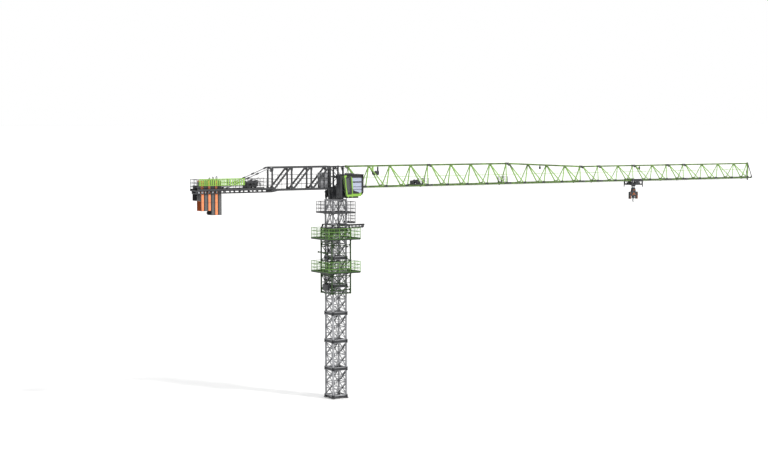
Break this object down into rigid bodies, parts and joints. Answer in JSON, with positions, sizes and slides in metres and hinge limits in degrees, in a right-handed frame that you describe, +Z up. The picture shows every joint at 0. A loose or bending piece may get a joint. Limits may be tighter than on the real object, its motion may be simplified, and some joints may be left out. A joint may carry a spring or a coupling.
{
  "type": "tower crane, 1:2 scale model",
  "caption": "Flat-top tower crane: lattice mast with climbing frame, slewing cab and turret, long trussed jib with trolley and hook block, and counterweighted rear jib.",
  "frame": {"origin": "centre of the base frame's underside, on the slewing axis", "axes": "+Z up, +X along the jib, the cab on the -Y side"},
  "size_m": [35.9776, 1.94, 11.7275],
  "materials": {
    "mast_steel": "grey paint",
    "dark_steel": "dark grey paint",
    "cage_green": "green paint",
    "jib_green": "green paint",
    "cab_green": "bright green paint",
    "cab_glass": "pale tinted glass",
    "weight_orange": "orange paint on concrete",
    "weight_grey": "grey paint on concrete",
    "block_orange": "orange-brown paint",
    "hook_steel": "forged steel",
    "wire_rope": "greased wire rope"
  },
  "bodies": {
    "mast": {"base_frame": "mast_steel", "mast_section_1": "mast_steel", "mast_section_2": "mast_steel", "mast_section_3": "mast_steel", "mast_section_4": "mast_steel", "mast_section_5": "mast_steel", "mast_section_6": "mast_steel", "mast_ladders": "mast_steel", "rest_platforms": "mast_steel", "mast_head": "mast_steel", "slewing_ring_fixed": "dark_steel", "slewing_platform": "mast_steel", "slewing_railing": "mast_steel", "hanging_platform": "mast_steel", "climbing_frame": "cage_green", "climbing_platforms": "cage_green", "climbing_railings": "cage_green", "monorail_beam": "mast_steel", "pump_unit": "dark_steel", "jacking_cylinder": "dark_steel"},
    "upper_works": {"slewing_ring_turning": "dark_steel", "turntable": "dark_steel", "turret": "dark_steel", "jib_section_1": "jib_green", "jib_section_2": "jib_green", "jib_section_3": "jib_green", "jib_section_4": "jib_green", "jib_section_5": "jib_green", "jib_section_6": "jib_green", "jib_section_7": "jib_green", "jib_section_8": "jib_green", "jib_tip": "dark_steel", "jib_ropes": "wire_rope", "pulley_bracket": "dark_steel", "trolley_winch_frame": "dark_steel", "counter_jib_truss": "dark_steel", "counter_jib_deck": "dark_steel", "counter_jib_ties": "dark_steel", "deck_railing": "dark_steel", "sign_board": "cab_green", "tail_blocks": "dark_steel", "counterweights_orange": "weight_orange", "counterweights_grey": "weight_grey", "hoist_winch_frame": "dark_steel", "control_cabinets": "dark_steel", "cab_floor": "cab_green", "cab_side_frames": "cab_green", "cab_rear_wall": "dark_steel", "cab_roof": "dark_steel", "cab_glazing": "cab_glass", "cab_doors": "dark_steel"},
    "hoist_drum": {"hoist_drum": "dark_steel"},
    "trolley_drum": {"trolley_drum": "dark_steel"},
    "trolley": {"trolley_frame": "dark_steel", "trolley_wheels": "dark_steel", "trolley_sheaves": "dark_steel", "rope_falls": "wire_rope"},
    "hook_block": {"hook_block_cheeks": "block_orange", "hook_block_sheave": "block_orange"},
    "hook": {"hook": "hook_steel"}
  },
  "joints": [
    {"name": "slew", "type": "hinge", "parent": "mast", "child": "upper_works", "pos_m": [0, 0, 10.09], "axis": [0, 0, 1], "range_deg": [-540, 540]},
    {"name": "trolley_travel", "type": "slide", "parent": "upper_works", "child": "trolley", "axis": [1, 0, 0], "range_m": [-17.3, 8.175]},
    {"name": "hoist", "type": "slide", "parent": "trolley", "child": "hook_block", "axis": [0, 0, -1], "range_m": [0, 9.1], "deforming": ["rope_falls"]},
    {"name": "hook_swivel", "type": "hinge", "parent": "hook_block", "child": "hook", "pos_m": [19.325, 0, 9.48], "axis": [0, 0, 1], "continuous": true},
    {"name": "hoist_drum_spin", "type": "hinge", "parent": "upper_works", "child": "hoist_drum", "pos_m": [-4.625, 0, 10.895], "axis": [0, 1, 0], "range_deg": [-10, 7300]},
    {"name": "trolley_drum_spin", "type": "hinge", "parent": "upper_works", "child": "trolley_drum", "pos_m": [4.75, 0, 10.82], "axis": [0, 1, 0], "range_deg": [-12600, 6000]}
  ],
  "couplings": [
    {"joint": "hoist_drum_spin", "follows": "hoist", "rad_per_m": 13.793},
    {"joint": "trolley_drum_spin", "follows": "trolley_travel", "rad_per_m": 12.5}
  ]
}
